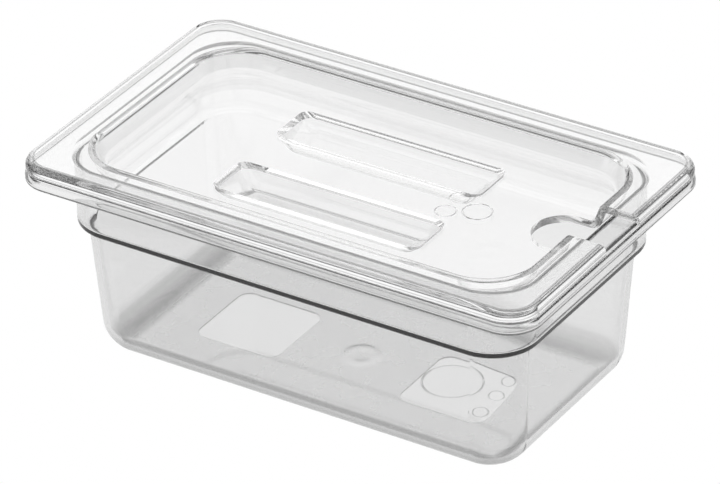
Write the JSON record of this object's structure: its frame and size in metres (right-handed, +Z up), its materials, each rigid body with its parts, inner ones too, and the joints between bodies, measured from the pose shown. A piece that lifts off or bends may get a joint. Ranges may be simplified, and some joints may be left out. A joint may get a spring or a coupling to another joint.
{
  "type": "deli food pan",
  "caption": "Clear plastic quarter-size food pan with a flanged rim and a lift-off lid that has a recessed panel, grip bar and ladle notch.",
  "frame": {"origin": "centre of the pan's flat base, on the surface it stands on", "axes": "+X along the pan towards the lid's notch, +Y across it, +Z up"},
  "size_m": [0.265, 0.162, 0.104],
  "materials": {
    "pan_plastic": "clear moulded polycarbonate, polished, slightly grey",
    "lid_plastic": "clear moulded polycarbonate, polished"
  },
  "bodies": {
    "pan": {"pan": "pan_plastic"},
    "lid": {"notched_lid": "lid_plastic"}
  },
  "joints": [
    {"name": "lid_lift", "type": "slide", "parent": "pan", "child": "lid", "axis": [0, 0, 1], "range_m": [0, 0.12]}
  ]
}
